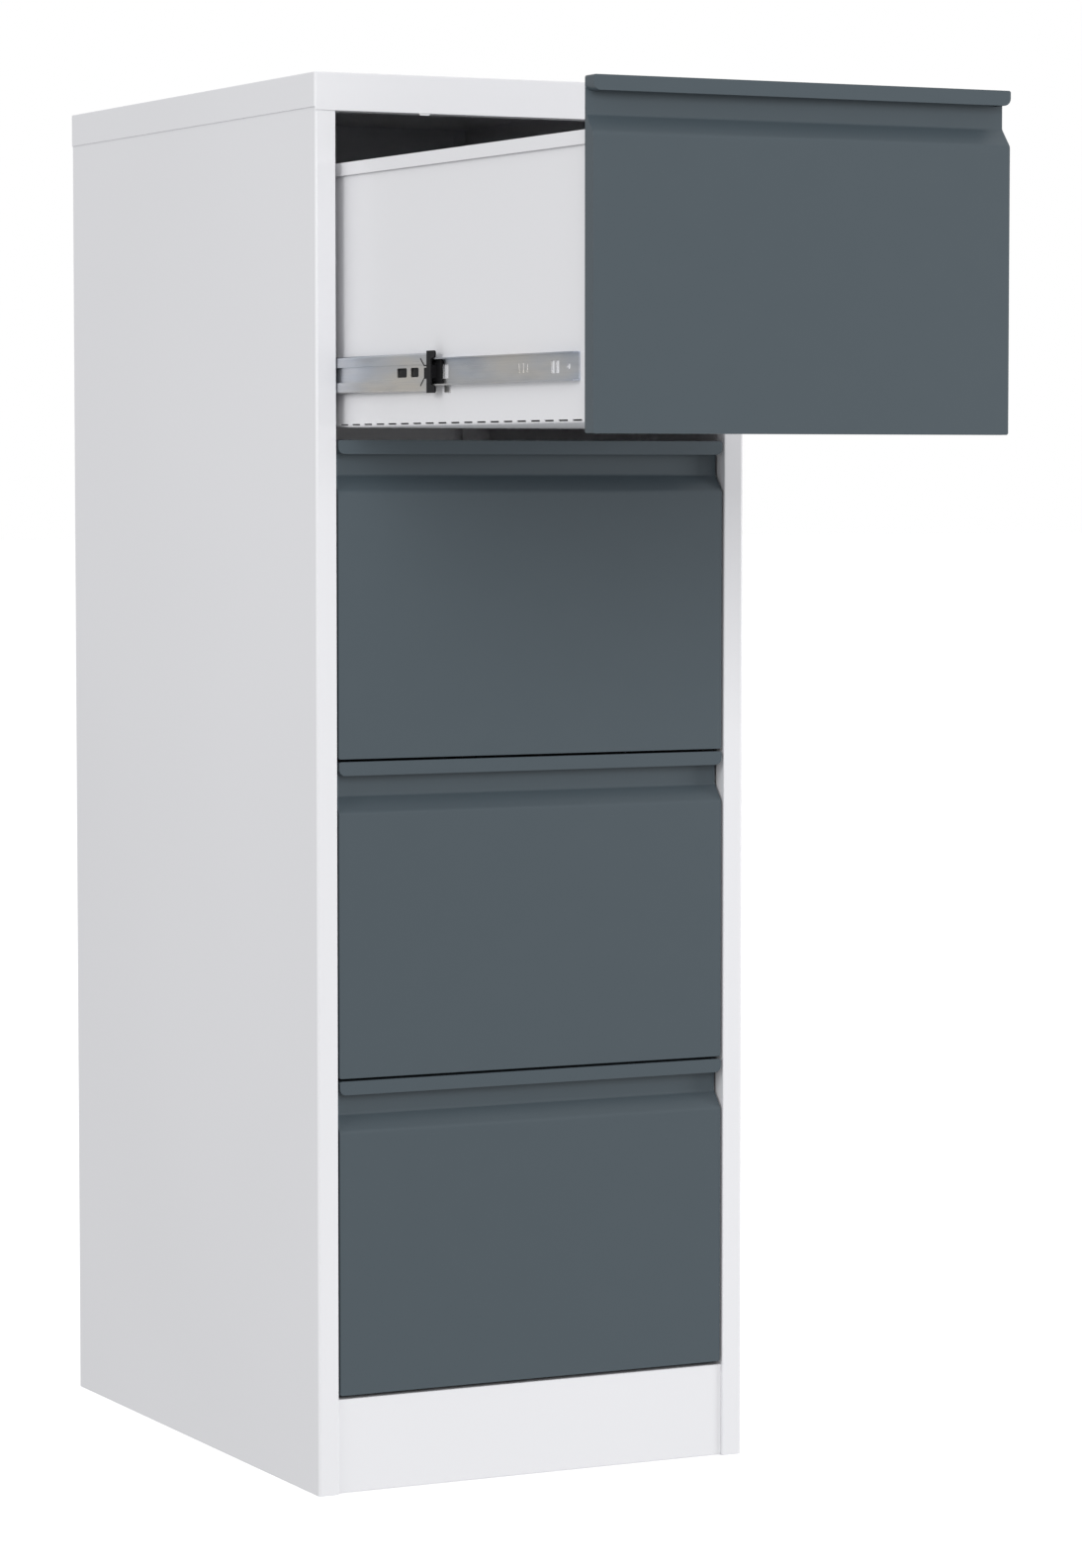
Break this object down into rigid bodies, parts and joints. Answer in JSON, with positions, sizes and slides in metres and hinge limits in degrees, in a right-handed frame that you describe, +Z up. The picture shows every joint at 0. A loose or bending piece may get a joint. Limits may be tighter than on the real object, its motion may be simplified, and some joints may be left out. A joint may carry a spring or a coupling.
{
  "type": "filing cabinet",
  "caption": "Tall metal filing cabinet with full-width finger-grip drawers on telescopic ball slides, the top drawer pulled open.",
  "frame": {"origin": "on the floor, at the centre of the carcass's footprint, on the underside of its floor sheet", "axes": "+X to the right seen from the front, +Y to the back, +Z up; the drawers open along -Y"},
  "size_m": [0.454, 1.139, 1.33],
  "materials": {
    "white_powder_coat": "satin",
    "grey_powder_coat": "satin",
    "zinc_steel": "satin",
    "black_plastic": "matte"
  },
  "bodies": {
    "cabinet": {"left_side_panel": "white_powder_coat", "right_side_panel": "white_powder_coat", "back_panel": "white_powder_coat", "top_cap": "white_powder_coat", "base_panel": "white_powder_coat", "plinth": "white_powder_coat", "upright_front_left": "white_powder_coat", "upright_rear_left": "white_powder_coat", "upright_front_right": "white_powder_coat", "upright_rear_right": "white_powder_coat", "slide_rivets": "zinc_steel", "cabinet_rail_left_1": "zinc_steel", "cabinet_rail_right_1": "zinc_steel", "cabinet_rail_left_2": "zinc_steel", "cabinet_rail_right_2": "zinc_steel", "cabinet_rail_left_3": "zinc_steel", "cabinet_rail_right_3": "zinc_steel", "cabinet_rail_left_4": "zinc_steel", "cabinet_rail_right_4": "zinc_steel"},
    "drawer_1": {"drawer_front_1": "grey_powder_coat", "drawer_liner_1": "grey_powder_coat", "drawer_tray_1": "white_powder_coat", "drawer_back_1": "white_powder_coat", "drawer_rail_left_1": "zinc_steel", "drawer_rail_right_1": "zinc_steel"},
    "slide_1": {"middle_rail_left_1": "zinc_steel", "middle_rail_right_1": "zinc_steel", "rail_bumper_left_1": "black_plastic", "rail_bumper_right_1": "black_plastic"},
    "drawer_2": {"drawer_front_2": "grey_powder_coat", "drawer_liner_2": "grey_powder_coat", "drawer_tray_2": "white_powder_coat", "drawer_back_2": "white_powder_coat", "drawer_rail_left_2": "zinc_steel", "drawer_rail_right_2": "zinc_steel"},
    "slide_2": {"middle_rail_left_2": "zinc_steel", "middle_rail_right_2": "zinc_steel", "rail_bumper_left_2": "black_plastic", "rail_bumper_right_2": "black_plastic"},
    "drawer_3": {"drawer_front_3": "grey_powder_coat", "drawer_liner_3": "grey_powder_coat", "drawer_tray_3": "white_powder_coat", "drawer_back_3": "white_powder_coat", "drawer_rail_left_3": "zinc_steel", "drawer_rail_right_3": "zinc_steel"},
    "slide_3": {"middle_rail_left_3": "zinc_steel", "middle_rail_right_3": "zinc_steel", "rail_bumper_left_3": "black_plastic", "rail_bumper_right_3": "black_plastic"},
    "drawer_4": {"drawer_front_4": "grey_powder_coat", "drawer_liner_4": "grey_powder_coat", "drawer_tray_4": "white_powder_coat", "drawer_back_4": "white_powder_coat", "drawer_rail_left_4": "zinc_steel", "drawer_rail_right_4": "zinc_steel"},
    "slide_4": {"middle_rail_left_4": "zinc_steel", "middle_rail_right_4": "zinc_steel", "rail_bumper_left_4": "black_plastic", "rail_bumper_right_4": "black_plastic"}
  },
  "joints": [
    {"name": "drawer_1_slide", "type": "slide", "parent": "cabinet", "child": "drawer_1", "axis": [0, -1, 0], "range_m": [-0.5185, 0.0315]},
    {"name": "slide_1_travel", "type": "slide", "parent": "cabinet", "child": "slide_1", "axis": [0, -1, 0], "range_m": [-0.25925, 0.01575]},
    {"name": "drawer_2_slide", "type": "slide", "parent": "cabinet", "child": "drawer_2", "axis": [0, -1, 0], "range_m": [0, 0.55]},
    {"name": "slide_2_travel", "type": "slide", "parent": "cabinet", "child": "slide_2", "axis": [0, -1, 0], "range_m": [0, 0.275]},
    {"name": "drawer_3_slide", "type": "slide", "parent": "cabinet", "child": "drawer_3", "axis": [0, -1, 0], "range_m": [0, 0.55]},
    {"name": "slide_3_travel", "type": "slide", "parent": "cabinet", "child": "slide_3", "axis": [0, -1, 0], "range_m": [0, 0.275]},
    {"name": "drawer_4_slide", "type": "slide", "parent": "cabinet", "child": "drawer_4", "axis": [0, -1, 0], "range_m": [0, 0.55]},
    {"name": "slide_4_travel", "type": "slide", "parent": "cabinet", "child": "slide_4", "axis": [0, -1, 0], "range_m": [0, 0.275]}
  ],
  "couplings": [
    {"joint": "slide_1_travel", "follows": "drawer_1_slide", "ratio": 0.5},
    {"joint": "slide_2_travel", "follows": "drawer_2_slide", "ratio": 0.5},
    {"joint": "slide_3_travel", "follows": "drawer_3_slide", "ratio": 0.5},
    {"joint": "slide_4_travel", "follows": "drawer_4_slide", "ratio": 0.5}
  ]
}
